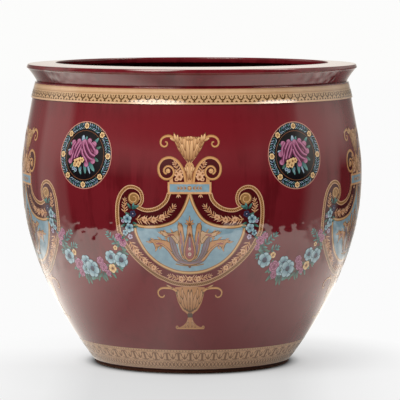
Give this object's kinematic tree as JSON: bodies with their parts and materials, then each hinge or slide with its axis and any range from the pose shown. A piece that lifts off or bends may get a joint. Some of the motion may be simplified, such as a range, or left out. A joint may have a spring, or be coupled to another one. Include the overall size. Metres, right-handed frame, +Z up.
{
  "type": "jardiniere",
  "caption": "Round glazed ceramic jardiniere: bellied bowl on a low foot ring, moulded collar, flared rim with a broad flat lip, and fired-on prints of urns, rose medallions and garlands.",
  "frame": {"origin": "on the floor, under the middle of the foot ring", "axes": "+Z up through the mouth; -Y towards the front, where the first urn faces; +X to its right"},
  "size_m": [0.454, 0.4544, 0.4],
  "materials": {
    "biscuit": "unglazed fired body, ground flat, matt",
    "glaze": "deep maroon glaze, high gloss",
    "gold_print": "tan gold print under a clear gloss",
    "urn_print": "gold, light blue and purple enamel print under a clear gloss",
    "rose_print": "black, teal and pink enamel print with small gold flowers, gloss",
    "garland_print": "blue, pink and green enamel print, gloss"
  },
  "bodies": {
    "root": {"foot_ring": "biscuit", "bowl": "glaze", "neck_collar": "glaze", "flared_rim": "glaze", "upper_border_transfer": "gold_print", "lower_border_transfer": "gold_print", "urn_transfer_1": "urn_print", "urn_transfer_2": "urn_print", "urn_transfer_3": "urn_print", "urn_transfer_4": "urn_print", "urn_transfer_5": "urn_print", "rose_medallion_transfer_1": "rose_print", "rose_medallion_transfer_2": "rose_print", "rose_medallion_transfer_3": "rose_print", "rose_medallion_transfer_4": "rose_print", "rose_medallion_transfer_5": "rose_print", "garland_transfer_1": "garland_print", "garland_transfer_2": "garland_print", "garland_transfer_3": "garland_print", "garland_transfer_4": "garland_print", "garland_transfer_5": "garland_print"}
  },
  "joints": []
}
